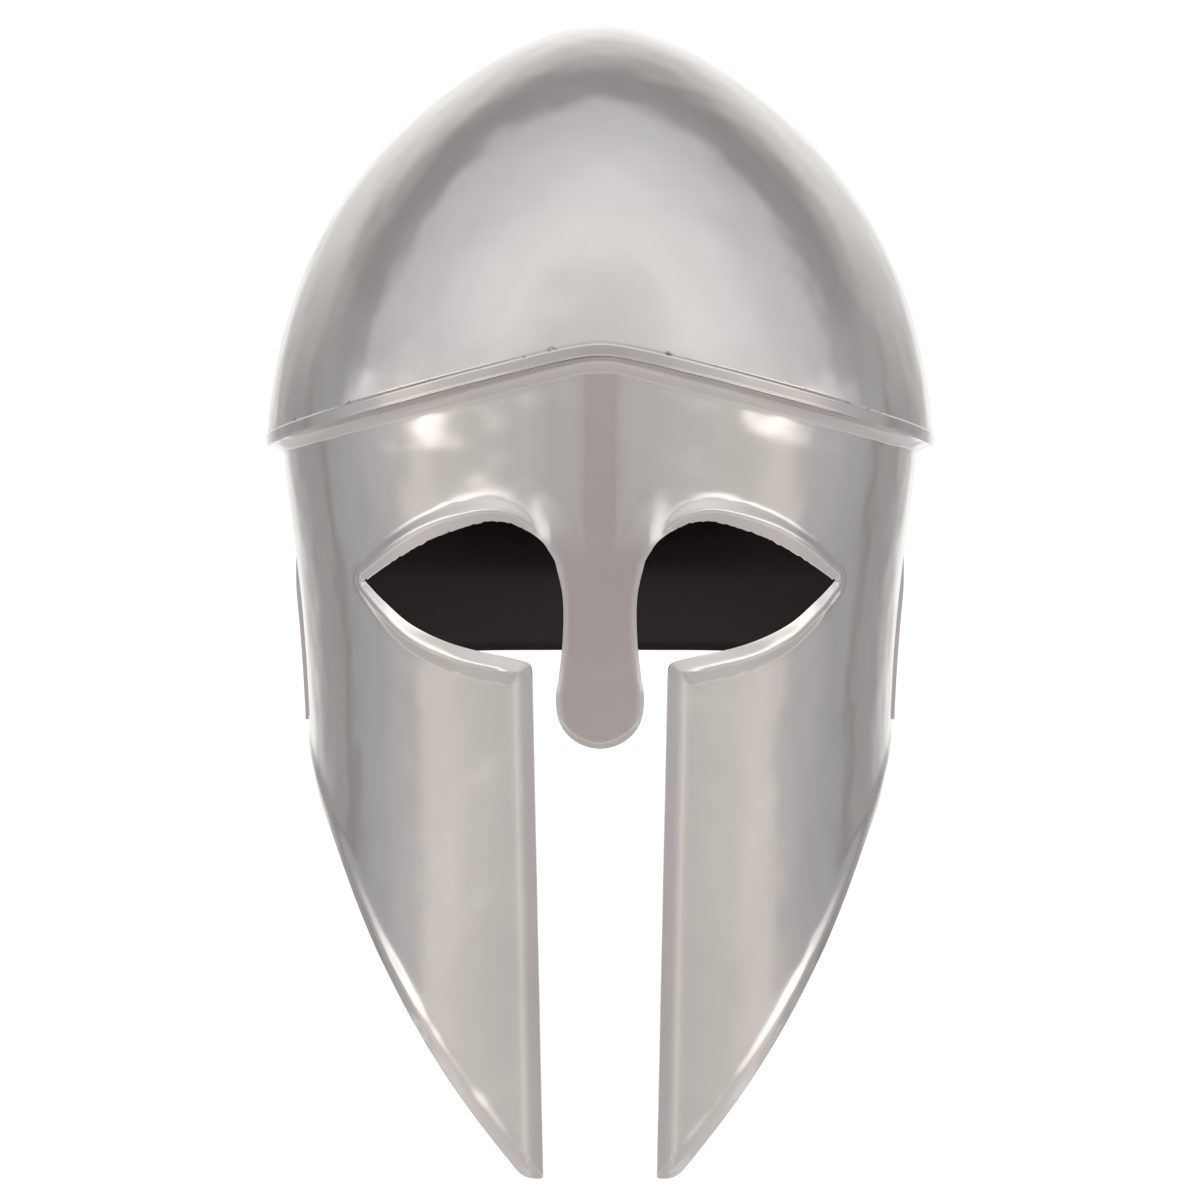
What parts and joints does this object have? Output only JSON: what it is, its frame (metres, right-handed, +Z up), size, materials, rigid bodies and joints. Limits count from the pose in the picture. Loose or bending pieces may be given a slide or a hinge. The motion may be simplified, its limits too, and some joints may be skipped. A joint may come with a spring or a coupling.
{
  "type": "corinthian helmet",
  "caption": "Polished steel Corinthian style helmet with almond eye openings, nose guard, long cheek guards and padded leather liner.",
  "frame": {"origin": "centre of the leather head band, in the level plane where the helmet sits on the head", "axes": "+Z up to the crown, face towards -Y, wearer's left towards +X"},
  "size_m": [0.2066, 0.2515, 0.347],
  "materials": {
    "polished_steel": "polished bright, fine rubbing marks",
    "weld_steel": "rough weld bead",
    "rivet_steel": "domed and polished",
    "band_leather": "matte dark leather",
    "tongue_leather": "matte dark leather, suede inside",
    "pad_leather": "soft dark leather over foam",
    "waxed_thread": "waxed linen stitching"
  },
  "bodies": {
    "root": {"skull_bowl": "polished_steel", "face_plate": "polished_steel", "neck_guard": "polished_steel", "rim_weld": "weld_steel", "side_welds": "weld_steel", "liner_band": "band_leather", "crown_disc": "tongue_leather", "liner_rivets": "rivet_steel", "rivet_washers": "rivet_steel", "brow_pad": "pad_leather", "temple_pad_left": "pad_leather", "temple_pad_right": "pad_leather", "rear_pad_left": "pad_leather", "rear_pad_right": "pad_leather", "nape_pad": "pad_leather", "liner_tongue_1": "tongue_leather", "liner_tongue_2": "tongue_leather", "liner_tongue_3": "tongue_leather", "liner_tongue_4": "tongue_leather", "liner_tongue_5": "tongue_leather", "liner_tongue_6": "tongue_leather", "liner_tongue_7": "tongue_leather", "liner_tongue_8": "tongue_leather"}
  },
  "joints": []
}
